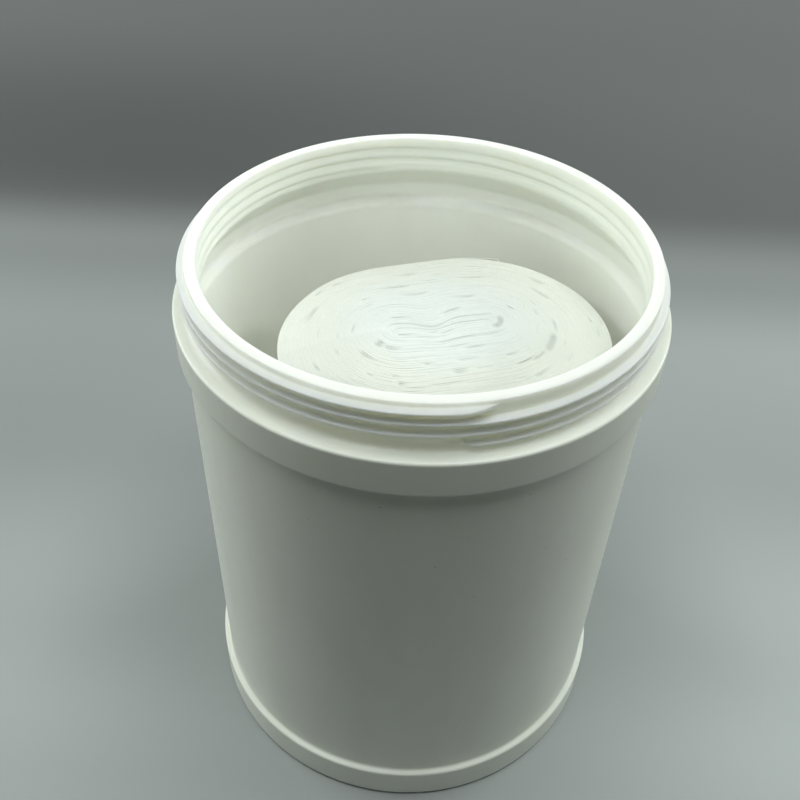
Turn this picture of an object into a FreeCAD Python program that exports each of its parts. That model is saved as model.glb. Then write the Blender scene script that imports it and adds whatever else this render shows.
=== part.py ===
import FreeCAD, Part
import math
import os

# Open screw-neck canister with a coreless roll of wipes, in millimetres.
# The origin is the centre of the base on the surface it stands on, +Z is up and -Y is the front.

# Canister, outside
overall_height = 193.0
panel_radius = 72.9
bead_stand = 2.2
neck_set_in = 2.9
neck_drop = 15.9
bead_height = 11.7
panel_step = 1.0
base_ledge_z = 14.9
ledge_fall = 0.5
rim_round = 0.5
neck_fillet = 3.0
bead_round = 0.8
panel_fillet = 0.9
heel_round = 2.0

# Canister, inside
wall = 2.2
rim_land = 3.3
throat_depth = 12.6
bulge_round = 3.2
floor_fillet = 4.0
floor_thickness = 2.2
push_up = 2.0
foot_width = 14.1
foot_slope = 5.0
push_up_round = 1.5

# Neck thread, right-hand, one start
thread_pitch = 3.65
thread_turns = 3.015
thread_depth = 2.2
thread_crest = 0.7
thread_top_rise = 0.3
thread_under_fall = 0.8
thread_crest_round = 0.2
thread_root_sink = 0.6
thread_first_drop = 1.9
thread_start_angle = -76.4
thread_runout = 6.2
thread_nose = 3.0

# Groove that the thread leaves on the inside of the neck
groove_depth = 0.5
groove_height = 1.9
groove_turns = 2.5
groove_overrun = 0.6

# Roll of wipes: an oval winding round a flattened core, whose turns lie closer at the back
web_width = 152.0
wipe_length = 230.0
layer_thickness = 0.94
layer_gap = 0.5
core_shift = 8.0
core_half_length = 11.0
side_crown = 0.5
core_radius = 0.5
sheet_gap = 0.3
floor_clearance = 0.3
mouth_clearance = 3.1
roll_centre_x = 8.6
roll_centre_y = 2.0
roll_tilt = 17.5
tail_angle = 62.0

# Measures that follow from the ones above
shoulder_z = overall_height - neck_drop
bead_low_z = shoulder_z - bead_height
bead_radius = panel_radius + bead_stand
neck_radius = panel_radius - neck_set_in
foot_inner_radius = bead_radius - foot_width
push_up_radius = foot_inner_radius - foot_slope
mouth_radius = neck_radius - rim_land
bead_inner_radius = bead_radius - wall
panel_inner_radius = panel_radius - wall
floor_z = push_up + floor_thickness
thread_crest_radius = neck_radius + thread_depth


def point(radius, z):
    """A point of a turned outline, in the plane through the axis."""
    return FreeCAD.Vector(radius, 0, z)


def rounded_outline(corners):
    """Closed wire through corners (radius, z, rounding), with an arc at each rounded corner."""
    edges = []
    stations = []
    count = len(corners)
    for index, (radius, z, rounding) in enumerate(corners):
        here = point(radius, z)
        before = point(*corners[index - 1][:2]) - here
        after = point(*corners[(index + 1) % count][:2]) - here
        if rounding == 0:
            stations.append((here, here, None))
            continue
        turn = before.getAngle(after)
        setback = rounding / math.tan(turn / 2)
        before.normalize()
        after.normalize()
        middle = before + after
        middle.normalize()
        reach = rounding / math.sin(turn / 2) - rounding
        stations.append((here + before * setback, here + after * setback, here + middle * reach))
    for index, (start, end, middle) in enumerate(stations):
        if middle is not None:
            edges.append(Part.Arc(start, middle, end).toShape())
        following = stations[(index + 1) % count][0]
        if end.distanceToPoint(following) > 0:
            edges.append(Part.LineSegment(end, following).toShape())
    return Part.Wire(edges)


def turned(corners):
    """Solid of revolution round the Z axis."""
    face = Part.Face(rounded_outline(corners))
    return face.revolve(FreeCAD.Vector(0, 0, 0), FreeCAD.Vector(0, 0, 1), 360)


def canister_shell():
    """Blow-moulded shell: the inside follows the beads of the outside."""
    outside = [
        (0, push_up, 0),
        (push_up_radius, push_up, push_up_round),
        (foot_inner_radius, 0, push_up_round),
        (bead_radius, 0, heel_round),
        (bead_radius, base_ledge_z, bead_round),
        (panel_radius, base_ledge_z + ledge_fall, panel_fillet),
        (panel_radius, bead_low_z - panel_step, panel_fillet),
        (bead_radius, bead_low_z, bead_round),
        (bead_radius, shoulder_z, bead_round),
        (neck_radius, shoulder_z + ledge_fall, neck_fillet),
        (neck_radius, overall_height, rim_round),
    ]
    inside = [
        (mouth_radius, overall_height, rim_round),
        (mouth_radius, overall_height - throat_depth, bulge_round),
        (bead_inner_radius, shoulder_z - wall, bulge_round),
        (bead_inner_radius, bead_low_z + wall, bulge_round),
        (panel_inner_radius, bead_low_z - panel_step, bulge_round),
        (panel_inner_radius, base_ledge_z + ledge_fall, bulge_round),
        (bead_inner_radius, base_ledge_z - wall, bulge_round),
        (bead_inner_radius, floor_thickness, floor_fillet),
        (foot_inner_radius, floor_thickness, push_up_round),
        (push_up_radius, floor_z, push_up_round),
        (0, floor_z, 0),
    ]
    return turned(outside + inside)


def helical_solid(section, turns):
    """Section swept up a right-hand helix that starts on the X axis at height zero."""
    path = Part.makeHelix(thread_pitch, thread_pitch * turns, neck_radius)
    return Part.Wire(path.Edges).makePipeShell([section], True, True)


def thread_section():
    """Buttress ridge: a nearly flat upper flank, a short crest and a steeper lower flank."""
    root = neck_radius - thread_root_sink
    crest = thread_crest_radius
    flank_share = (crest - root) / thread_depth
    return rounded_outline([
        (root, -thread_under_fall * flank_share, 0),
        (crest, 0, thread_crest_round),
        (crest, thread_crest, thread_crest_round),
        (root, thread_crest + thread_top_rise * flank_share, 0),
    ])


def groove_section():
    """Shallow hollow in the inside of the neck, behind the ridge."""
    middle = thread_crest / 2
    half = groove_height / 2
    back = mouth_radius - groove_overrun
    low = point(mouth_radius, middle - half)
    deep = point(mouth_radius + groove_depth, middle)
    high = point(mouth_radius, middle + half)
    low_back = point(back, middle - half)
    high_back = point(back, middle + half)
    return Part.Wire([
        Part.Arc(low, deep, high).toShape(),
        Part.LineSegment(high, high_back).toShape(),
        Part.LineSegment(high_back, low_back).toShape(),
        Part.LineSegment(low_back, low).toShape(),
    ])


def end_cutter(length, direction):
    """Prism that takes one end of the ridge down to the neck wall over a length along the wall."""
    root = neck_radius - thread_root_sink
    beyond = thread_crest_radius + thread_depth
    low = -thread_under_fall - thread_crest
    high = thread_crest + thread_top_rise + thread_crest
    run_share = (beyond - root) / (thread_crest_radius - root)
    corners = [
        FreeCAD.Vector(root, 0, low),
        FreeCAD.Vector(beyond, direction * length * run_share, low),
        FreeCAD.Vector(beyond, -direction * length, low),
        FreeCAD.Vector(root, -direction * length, low),
    ]
    wire = Part.makePolygon(corners + corners[:1])
    return Part.Face(wire).extrude(FreeCAD.Vector(0, 0, high - low))


def at_thread(shape, turns_down):
    """Turn and lift a shape from the helix's own start to its place on the neck."""
    first_z = overall_height - thread_first_drop
    placed = shape.copy()
    placed.rotate(FreeCAD.Vector(0, 0, 0), FreeCAD.Vector(0, 0, 1), thread_start_angle - 360 * turns_down)
    placed.translate(FreeCAD.Vector(0, 0, first_z - thread_pitch * turns_down))
    return placed


def neck_thread():
    """Ridge of the neck thread with both ends run out into the wall."""
    ridge = at_thread(helical_solid(thread_section(), thread_turns), thread_turns)
    upper_end = at_thread(end_cutter(thread_runout, -1), 0)
    lower_end = at_thread(end_cutter(thread_nose, 1), thread_turns)
    return ridge.cut(upper_end).cut(lower_end)


def canister():
    """The one moulded piece: shell, thread outside and groove inside."""
    groove = at_thread(helical_solid(groove_section(), groove_turns), groove_turns)
    shell = canister_shell().cut(groove)
    return shell.fuse(neck_thread())


def end_radius():
    """Radius of the roll's ends: the end that reaches furthest still passes the mouth."""
    tilt = math.radians(roll_tilt)
    end_x = roll_centre_x + core_half_length * math.cos(tilt)
    end_y = roll_centre_y + core_half_length * math.sin(tilt)
    return mouth_radius - mouth_clearance - math.hypot(end_x, end_y)


def layer_pitch():
    """Mean distance between turns, of which the core's shift to the back takes a share there."""
    return (layer_thickness + layer_gap) / (1 - core_shift / end_radius())


def oval_arcs():
    """Arcs of the winding's middle line from the loose outer end inwards.

    Each arc is (centre x, centre y, radius, start angle, end angle), in degrees from the long axis.
    Each turn steps towards the back by its share of the core's shift.
    """
    pitch = layer_pitch()
    drift = core_shift * pitch / end_radius()
    side_drop = (core_half_length ** 2 - side_crown ** 2) / (2 * side_crown)
    centre_step = side_drop + side_crown
    corner = math.degrees(math.atan2(side_drop, core_half_length))
    ends = [corner, 180 - corner, 180 + corner, 360 - corner]
    centre = [core_half_length, 0]
    radius = end_radius() - layer_thickness / 2
    angle = tail_angle
    quarter = 0
    arcs = []
    while quarter % 2 or radius - pitch / 2 > core_radius:
        end = ends[quarter % 4] + 360 * (quarter // 4)
        arcs.append((centre[0], centre[1], radius, angle, end))
        grow = centre_step if quarter % 2 == 0 else -centre_step
        lean = drift if quarter % 4 < 2 else -drift
        following = radius + grow - (pitch + lean) / 4
        centre[0] += (radius - following) * math.cos(math.radians(end))
        centre[1] += (radius - following) * math.sin(math.radians(end))
        radius = following
        angle = end
        quarter += 1
    return arcs


def stretch(arcs, start, end):
    """The part of a chain of arcs between two lengths measured from its outer end."""
    kept = []
    done = 0
    for x, y, radius, low, high in arcs:
        length = radius * math.radians(high - low)
        first = max(start - done, 0) / length
        last = min(end - done, length) / length
        if first < last:
            kept.append((x, y, radius, low + (high - low) * first, low + (high - low) * last))
        done += length
    return kept


def on_arc(x, y, radius, angle):
    """Point of an arc, at the foot of the roll."""
    reach = math.radians(angle)
    return FreeCAD.Vector(x + radius * math.cos(reach), y + radius * math.sin(reach), 0)


def band_face(arcs):
    """Flat spiral band as thick as a layer along a chain of arcs."""
    half = layer_thickness / 2
    edges = []
    for side in (half, -half):
        for x, y, radius, low, high in arcs:
            start = on_arc(x, y, radius + side, low)
            middle = on_arc(x, y, radius + side, (low + high) / 2)
            end = on_arc(x, y, radius + side, high)
            edges.append(Part.Arc(start, middle, end).toShape())
    for x, y, radius, angle in (arcs[0][:4], arcs[-1][:3] + arcs[-1][4:]):
        inner = on_arc(x, y, radius - half, angle)
        outer = on_arc(x, y, radius + half, angle)
        edges.append(Part.LineSegment(inner, outer).toShape())
    return Part.Face(Part.Wire(Part.__sortEdges__(edges)))


def standing(face):
    """Extrude a band by the width of the web and stand it on the canister's floor."""
    solid = face.extrude(FreeCAD.Vector(0, 0, web_width))
    solid.rotate(FreeCAD.Vector(0, 0, 0), FreeCAD.Vector(0, 0, 1), roll_tilt)
    solid.translate(FreeCAD.Vector(roll_centre_x, roll_centre_y, floor_z + floor_clearance))
    return solid


def chain_length(arcs):
    """Length of a chain of arcs."""
    return sum(radius * math.radians(high - low) for x, y, radius, low, high in arcs)


def wipes():
    """The three lengths of web: loose outer sheet, wound middle and inner lead sheet."""
    arcs = oval_arcs()
    total = chain_length(arcs)
    tail = stretch(arcs, 0, wipe_length)
    middle = stretch(arcs, wipe_length + sheet_gap, total - wipe_length - sheet_gap)
    lead = stretch(arcs, total - wipe_length, total)
    report_winding(arcs, total)
    return {
        "tail_wipe": standing(band_face(tail)),
        "wipes_roll": standing(band_face(middle)),
        "lead_wipe": standing(band_face(lead)),
    }


def report_winding(arcs, total):
    """Print the number of turns, the web's length and the least gap, measured on points."""
    pitch = layer_pitch()
    samples = []
    for x, y, radius, low, high in arcs:
        steps = max(2, math.ceil(radius * math.radians(high - low) / pitch))
        for step in range(steps):
            angle = low + (high - low) * step / steps
            spot = on_arc(x, y, radius, angle)
            samples.append((spot.x, spot.y, angle))
    least = min(
        math.hypot(ax - bx, ay - by)
        for index, (ax, ay, a_angle) in enumerate(samples)
        for bx, by, b_angle in samples[index + 1:]
        if b_angle - a_angle > 180 and abs(ax - bx) < pitch * 2
    )
    turns = (arcs[-1][4] - arcs[0][3]) / 360
    gap = least - layer_thickness
    print("winding turns", round(turns, 2), "length", round(total, 1), "least gap", round(gap, 3))


def main():
    """Build every piece and write one file for each."""
    os.makedirs("parts", exist_ok=True)
    pieces = {"canister": canister()}
    pieces.update(wipes())
    for name, shape in pieces.items():
        if len(shape.Solids) != 1 or not shape.isValid():
            raise ValueError(name + " is not one valid solid")
        shape.Solids[0].exportStep("parts/" + name + ".step")


main()
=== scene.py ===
"""Looks of an open screw-neck wipes canister and its coreless roll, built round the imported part."""

import logging
import math
from dataclasses import dataclass, field
from enum import Enum
from typing import Any, Mapping, Sequence, Union

import bmesh
import bpy
import numpy as np
from mathutils import Matrix, Vector

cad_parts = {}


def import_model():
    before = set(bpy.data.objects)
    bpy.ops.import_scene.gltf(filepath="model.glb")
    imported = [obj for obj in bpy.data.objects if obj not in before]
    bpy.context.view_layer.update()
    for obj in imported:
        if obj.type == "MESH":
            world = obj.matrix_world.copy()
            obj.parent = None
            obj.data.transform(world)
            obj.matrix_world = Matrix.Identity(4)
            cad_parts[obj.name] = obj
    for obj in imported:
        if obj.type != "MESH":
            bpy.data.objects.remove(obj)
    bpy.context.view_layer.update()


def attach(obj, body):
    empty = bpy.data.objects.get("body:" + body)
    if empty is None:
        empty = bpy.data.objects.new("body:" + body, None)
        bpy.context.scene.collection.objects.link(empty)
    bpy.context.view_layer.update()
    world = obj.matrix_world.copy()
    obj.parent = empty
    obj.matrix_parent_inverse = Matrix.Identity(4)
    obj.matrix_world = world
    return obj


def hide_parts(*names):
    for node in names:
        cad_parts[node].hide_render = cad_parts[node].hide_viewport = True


MM = 0.001
EDGE_ROWS = 4
log = logging.getLogger("canister")

Pair = tuple[float, float]
Triple = tuple[float, float, float]
Number = Union[int, float]
Value = Union[Number, Sequence[Number], "Wire", Any]


class Body(Enum):
    """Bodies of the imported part."""

    CANISTER = "canister"
    ROLL = "roll"
    LEAD = "lead_wipe"


class Slot(Enum):
    """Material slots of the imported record."""

    PLASTIC = "canister_plastic"
    WEB = "wipes_web"


class Wire:
    """A socket's value in a node tree: arithmetic on it adds Math nodes."""

    def __init__(self, bench: "NodeBench", socket: bpy.types.NodeSocket) -> None:
        """Keep the bench that adds nodes and the socket that holds the value."""
        self.bench = bench
        self.socket = socket

    def math(self, operation: str, *values: Value, first: Value = None) -> "Wire":
        """Result of one Math node on this value, the values after it and an operand before it."""
        operands = ([] if first is None else [first]) + [self, *values]
        return self.bench.add("ShaderNodeMath", {"operation": operation}, dict(enumerate(operands)))

    def __add__(self, other: Value) -> "Wire":
        """Sum."""
        return self.math("ADD", other)

    def __radd__(self, other: Value) -> "Wire":
        """Sum with a number on the left."""
        return self.math("ADD", other)

    def __sub__(self, other: Value) -> "Wire":
        """Difference."""
        return self.math("SUBTRACT", other)

    def __rsub__(self, other: Value) -> "Wire":
        """Difference with a number on the left."""
        return self.math("SUBTRACT", first=other)

    def __mul__(self, other: Value) -> "Wire":
        """Product."""
        return self.math("MULTIPLY", other)

    def __rmul__(self, other: Value) -> "Wire":
        """Product with a number on the left."""
        return self.math("MULTIPLY", other)

    def __truediv__(self, other: Value) -> "Wire":
        """Quotient."""
        return self.math("DIVIDE", other)

    def __rtruediv__(self, other: Value) -> "Wire":
        """Quotient with a number on the left."""
        return self.math("DIVIDE", first=other)

    def __abs__(self) -> "Wire":
        """Absolute value."""
        return self.math("ABSOLUTE")

    def __lt__(self, other: Value) -> "Wire":
        """One where this is less, else zero."""
        return self.math("LESS_THAN", other)

    def __gt__(self, other: Value) -> "Wire":
        """One where this is more, else zero."""
        return self.math("GREATER_THAN", other)

    def smooth(self, start: Number, end: Number) -> "Wire":
        """Share that goes smoothly from 0 at the start value to 1 at the end value."""
        inputs = {"Value": self, "From Min": start, "From Max": end}
        return self.bench.add("ShaderNodeMapRange", {"interpolation_type": "SMOOTHSTEP"}, inputs)


class NodeBench:
    """The one place where nodes are added to a tree."""

    def __init__(self, tree: bpy.types.NodeTree) -> None:
        """Keep the tree that the nodes go into."""
        self.tree = tree

    def add(
        self,
        kind: str,
        settings: Mapping[str, Any] = {},
        inputs: Mapping[Union[str, int], Value] = {},
        output: Union[str, int] = 0,
    ) -> Wire:
        """Add a node.

        Args:
            kind: The node's type.
            settings: Its own settings, set before its sockets. The stops of a ramp go under "stops".
            inputs: Values or wires by the socket's name or number.
            output: Name or number of the socket to return.

        Returns:
            The chosen output.
        """
        node = self.tree.nodes.new(kind)
        for name, value in settings.items():
            if name == "stops":
                self.set_stops(node.color_ramp, value)
            else:
                setattr(node, name, value)
        for name, value in inputs.items():
            socket = node.inputs[name]
            if isinstance(value, Wire):
                self.tree.links.new(value.socket, socket)
            else:
                socket.default_value = value
        return Wire(self, node.outputs[output] if len(node.outputs) else None)

    @staticmethod
    def set_stops(ramp: bpy.types.ColorRamp, stops: Sequence[tuple[float, Sequence[float]]]) -> None:
        """Give a ramp its stops.

        Args:
            ramp: The ramp to fill.
            stops: Place and colour of each stop, in order.
        """
        ramp.interpolation = "EASE"
        while len(ramp.elements) < len(stops):
            ramp.elements.new(1.0)
        for element, (place, colour) in zip(ramp.elements, stops):
            element.position = place
            element.color = (*colour, 1.0)

    def mix(self, share: Value, first: Value, second: Value) -> Wire:
        """Mix of two colours, by the share of the second."""
        return self.add("ShaderNodeMix", {"data_type": "RGBA"}, {"Factor": share, 6: first, 7: second}, 2)

    def noise(self, vector: Wire, scale: float, detail: float = 2.0, roughness: float = 0.5) -> Wire:
        """Noise from 0 to 1, with so many bumps a metre, octaves, and strength of the finer octaves."""
        inputs = {"Vector": vector, "Scale": scale, "Detail": detail, "Roughness": roughness}
        return self.add("ShaderNodeTexNoise", {}, inputs)

    def stretched(self, vector: Wire, scale: Sequence[float], turn: Sequence[float] = (0, 0, 0)) -> Wire:
        """Coordinates with a factor on each axis, turned by angles in radians."""
        return self.add("ShaderNodeMapping", {}, {"Vector": vector, "Scale": scale, "Rotation": turn})

    def part(self, vector: Wire, axis: str) -> Wire:
        """One of a vector's X, Y and Z."""
        return self.add("ShaderNodeSeparateXYZ", {}, {"Vector": vector}, axis)

    def vectors(self, operation: str, first: Wire, second: Value = (0, 0, 0), output: str = "Vector") -> Wire:
        """Result of one Vector Math node, its "Vector" or its "Value"."""
        return self.add("ShaderNodeVectorMath", {"operation": operation}, {0: first, 1: second}, output)

    def bump(self, strength: float, relief: Wire) -> Wire:
        """Normal of a surface that stands out by a relief in metres."""
        return self.add("ShaderNodeBump", {}, {"Strength": strength, "Distance": 1.0, "Height": relief})


class Finish:
    """A material built from nodes on Object coordinates."""

    name: str

    def material(self) -> bpy.types.Material:
        """Build the material.

        Returns:
            A node material with one Principled shader.
        """
        made = bpy.data.materials.new(self.name)
        made.use_nodes = True
        made.node_tree.nodes.clear()
        bench = NodeBench(made.node_tree)
        place = bench.add("ShaderNodeTexCoord", output="Object")
        shader = bench.add("ShaderNodeBsdfPrincipled", {}, self.sockets(bench, place))
        bench.add("ShaderNodeOutputMaterial", {}, {"Surface": shader})
        return made

    def sockets(self, bench: NodeBench, place: Wire) -> dict[str, Value]:
        """Values and wires of the Principled shader's sockets; each finish has its own."""
        raise NotImplementedError


@dataclass(frozen=True)
class SatinPolyethylene(Finish):
    """White blow-moulded polyethylene with a fine satin grain and a few specks of dust."""

    name: str = "satin_polyethylene"
    white: Triple = (0.82, 0.845, 0.765)
    tired_white: Triple = (0.795, 0.815, 0.725)
    tired_range: Pair = (0.35, 0.75)
    dust: Triple = (0.10, 0.09, 0.08)
    roughness: float = 0.40
    scuff_dulls: float = 0.16
    flow_dulls: float = 0.08
    flow_per_metre: float = 55.0
    flow_stretch: Triple = (1.0, 1.0, 0.35)
    flow_height: float = 0.12 * MM
    grain_per_metre: float = 2600.0
    grain_height: float = 0.012 * MM
    scuffs_per_metre: float = 310.0
    scuff_stretch: Triple = (1.0, 1.0, 2.4)
    specks_per_metre: float = 250.0
    bare_share: float = 0.94
    speck_size: Pair = (0.03, 0.035)
    speck_share: float = 0.8
    through: float = 0.35
    through_length: float = 2.0 * MM
    pinch_ends: Pair = (39.48 * MM, 42.0 * MM)
    pinch_half_width: float = 0.7 * MM
    pinch_height: float = 0.4 * MM
    pinch_below: float = 2.5 * MM

    def sockets(self, bench: NodeBench, place: Wire) -> dict[str, Value]:
        """Colour, gloss and relief of the plastic.

        Args:
            bench: Adds the nodes.
            place: Object coordinates.

        Returns:
            The shader's sockets.
        """
        flow = bench.noise(bench.stretched(place, self.flow_stretch), self.flow_per_metre, 3.0)
        grain = bench.noise(place, self.grain_per_metre, 2.0, 0.6)
        scuff = bench.noise(bench.stretched(place, self.scuff_stretch), self.scuffs_per_metre, 4.0, 0.65)
        tint = bench.mix(flow.smooth(*self.tired_range), (*self.white, 1), (*self.tired_white, 1))
        colour = bench.mix(self.specks(bench, place), tint, (*self.dust, 1))
        seam = self.pinch_line(bench, place) * self.pinch_height
        relief = grain * self.grain_height + flow * self.flow_height + seam
        return {
            "Base Color": colour,
            "Roughness": self.roughness + (scuff - 0.5) * self.scuff_dulls + (flow - 0.5) * self.flow_dulls,
            "Normal": bench.bump(0.6, relief),
            "IOR": 1.52,
            "Specular IOR Level": 0.45,
            "Subsurface Weight": self.through,
            "Subsurface Radius": (1.0, 0.95, 0.82),
            "Subsurface Scale": self.through_length,
        }

    def specks(self, bench: NodeBench, place: Wire) -> Wire:
        """Sparse specks of dust, a third of a millimetre across.

        Args:
            bench: Adds the nodes.
            place: Object coordinates.

        Returns:
            Share of dust in the colour.
        """
        cells = {"Vector": place, "Scale": self.specks_per_metre, "Randomness": 1.0}
        distance = bench.add("ShaderNodeTexVoronoi", {}, cells, "Distance")
        shade = bench.add("ShaderNodeTexVoronoi", {}, cells, "Color")
        chance = bench.add("ShaderNodeSeparateColor", {}, {"Color": shade}, "Red")
        size = bench.add("ShaderNodeSeparateColor", {}, {"Color": shade}, "Green")
        least, more = self.speck_size
        return (chance > self.bare_share) * (distance < least + size * more) * self.speck_share

    def pinch_line(self, bench: NodeBench, place: Wire) -> Wire:
        """Height share of the mould's pinched seam across the underside of the base.

        Args:
            bench: Adds the nodes.
            place: Object coordinates.

        Returns:
            One on the seam's ridge, zero away from it.
        """
        ridge = 1 - abs(bench.part(place, "Y")).smooth(0.0, self.pinch_half_width)
        ends = 1 - abs(bench.part(place, "X")).smooth(*self.pinch_ends)
        return ridge * ends * (bench.part(place, "Z") < self.pinch_below)


@dataclass(frozen=True)
class Nonwoven(Finish):
    """Dry off-white nonwoven web: matt, soft and full of fine fibres, with painted shade in the hollows between its
    layers.
    """

    name: str = "dry_nonwoven"
    white: Triple = (0.71, 0.73, 0.66)
    cool_white: Triple = (0.71, 0.753, 0.715)
    tuft_white: Triple = (0.76, 0.79, 0.73)
    core: Triple = (5.7 * MM, 10.1 * MM, 0.0)
    core_squash: Triple = (0.75, 1.0, 0.0)
    cool_range: Pair = (30.0 * MM, 13.5 * MM)
    cool_wander: float = 12.0 * MM
    patches_per_metre: float = 38.0
    tuft_range: Pair = (0.55, 0.9)
    tuft_share: float = 0.25
    painted_hollow_shade: Triple = (0.54, 0.567, 0.52)
    painted_shade_share: float = 0.8
    full_painted_shade_dip: float = 0.7 * MM
    tufts_per_metre: float = 420.0
    tuft_height: float = 0.08 * MM
    fibres_per_metre: float = 1400.0
    fibre_stretch: Triple = (1.0, 1.0, 0.16)
    fibre_turns: tuple[Triple, ...] = ((0.5, 0.4, 0.0), (-0.6, 0.9, 0.0))
    fibre_height: float = 0.05 * MM

    def sockets(self, bench: NodeBench, place: Wire) -> dict[str, Value]:
        """Colour and relief of the web, greyed as painted shade where its top edge dips into a hollow.

        Args:
            bench: Adds the nodes.
            place: Object coordinates.

        Returns:
            The shader's sockets.
        """
        tufts = bench.noise(place, self.tufts_per_metre, 3.0, 0.6)
        strands, crossed = (
            bench.noise(bench.stretched(place, self.fibre_stretch, turn), self.fibres_per_metre, 3.0, 0.7)
            for turn in self.fibre_turns)
        patch = bench.noise(place, self.patches_per_metre)
        away = bench.vectors("DISTANCE", bench.vectors("MULTIPLY", place, self.core_squash), self.core, "Value")
        cool = (away + (patch - 0.5) * self.cool_wander).smooth(*self.cool_range)
        colour = bench.mix(cool, (*self.white, 1), (*self.cool_white, 1))
        colour = bench.mix(tufts.smooth(*self.tuft_range) * self.tuft_share, colour, (*self.tuft_white, 1))
        # Painted shade: the colour greys towards the shaded grey where the web's top edge dips into a hollow.
        sunk = bench.add("ShaderNodeAttribute", {"attribute_name": "dip"}, output="Fac")
        colour = bench.mix((sunk / self.full_painted_shade_dip).smooth(0.0, 1.0) * self.painted_shade_share, colour, (*self.painted_hollow_shade, 1))
        relief = tufts * self.tuft_height + (strands + crossed) * self.fibre_height
        return {
            "Base Color": colour,
            "Roughness": 0.86 + (tufts - 0.5) * 0.16,
            "Normal": bench.bump(0.7, relief),
            "Specular IOR Level": 0.25,
            "Sheen Weight": 0.15,
            "Sheen Roughness": 0.5,
            "Subsurface Weight": 0.3,
            "Subsurface Radius": (1.0, 1.0, 0.9),
            "Subsurface Scale": 0.6 * MM,
        }


@dataclass(frozen=True)
class PaleFloorPaintedShade(Finish):
    """Pale grey paper with painted shade: darker behind the canister and in front of it, with a painted contact shadow
    round it.
    """

    name: str = "pale_floor_painted_shade"
    tint: Triple = (0.93, 1.0, 0.98)
    painted_shade_by_depth: tuple[Pair, ...] = (
        (-1.20, 0.32), (-0.60, 0.25), (-0.32, 0.14), (-0.18, 0.17), (-0.08, 0.47), (-0.05, 0.50), (0.0, 0.44),
        (0.10, 0.31), (0.20, 0.34), (0.28, 0.23), (0.36, 0.10), (0.60, 0.12), (0.85, 0.14), (1.50, 0.26))
    mottle_per_metre: float = 900.0
    mottle_share: float = 0.04
    reach: float = 0.26
    painted_left_shade: float = 0.20
    near_end: Pair = (0.20, 0.34)
    painted_contact_shadow: float = 0.16
    contact_shadow_end: Pair = (0.08, 0.19)
    painted_behind_shade: float = 0.40
    behind_start: Pair = (0.28, 0.40)
    behind_end: Pair = (0.45, 0.70)

    def sockets(self, bench: NodeBench, place: Wire) -> dict[str, Value]:
        """Colour of the paper, with its painted shade and contact shadow.

        Args:
            bench: Adds the nodes.
            place: Object coordinates.

        Returns:
            The shader's sockets.
        """
        first, last = self.painted_shade_by_depth[0][0], self.painted_shade_by_depth[-1][0]
        depth = bench.part(place, "Y")
        mottle = bench.noise(place, self.mottle_per_metre)
        # The ramp's greys are painted shade: the paper darkens far behind and in front of the canister.
        stops = [((at - first) / (last - first), tuple(grey * part for part in self.tint)) for at, grey in self.painted_shade_by_depth]
        inputs = {"Fac": (depth - first) / (last - first)}
        ramp = bench.add("ShaderNodeValToRGB", {"stops": stops}, inputs)
        # Painted shade on the left and in a band behind, and a painted contact shadow round the canister's foot.
        left = 1 - bench.part(place, "X").smooth(-self.reach, self.reach)
        near = 1 - depth.smooth(*self.near_end)
        contact_shadow_mask = 1 - bench.vectors("LENGTH", place, output="Value").smooth(*self.contact_shadow_end)
        behind = depth.smooth(*self.behind_start) * (1 - depth.smooth(*self.behind_end))
        share = left * (near * self.painted_left_shade + behind * self.painted_behind_shade) + near * contact_shadow_mask * self.painted_contact_shadow
        paper_with_painted_shade = bench.mix(share, ramp, (0.0, 0.0, 0.0, 1))
        colour = bench.mix(mottle * self.mottle_share, paper_with_painted_shade, (0.5, 0.5, 0.5, 1))
        return {"Base Color": colour, "Roughness": 0.75 + (mottle - 0.5) * 0.1}


def new_object(name: str, mesh: bpy.types.Mesh) -> bpy.types.Object:
    """Put a mesh into the scene at the origin.

    Args:
        name: The piece's name.
        mesh: Its mesh, with its place in its vertices.

    Returns:
        The new object.
    """
    made = bpy.data.objects.new(name, mesh)
    bpy.context.scene.collection.objects.link(made)
    return made


def eased(share: np.ndarray) -> np.ndarray:
    """Smooth step of a share that is held between 0 and 1."""
    held = np.clip(share, 0.0, 1.0)
    return held * held * (3.0 - 2.0 * held)


@dataclass(frozen=True)
class Corner:
    """A corner of the canister's turned outline, in millimetres."""

    radius: float
    height: float
    rounding: float = 0.0


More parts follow.
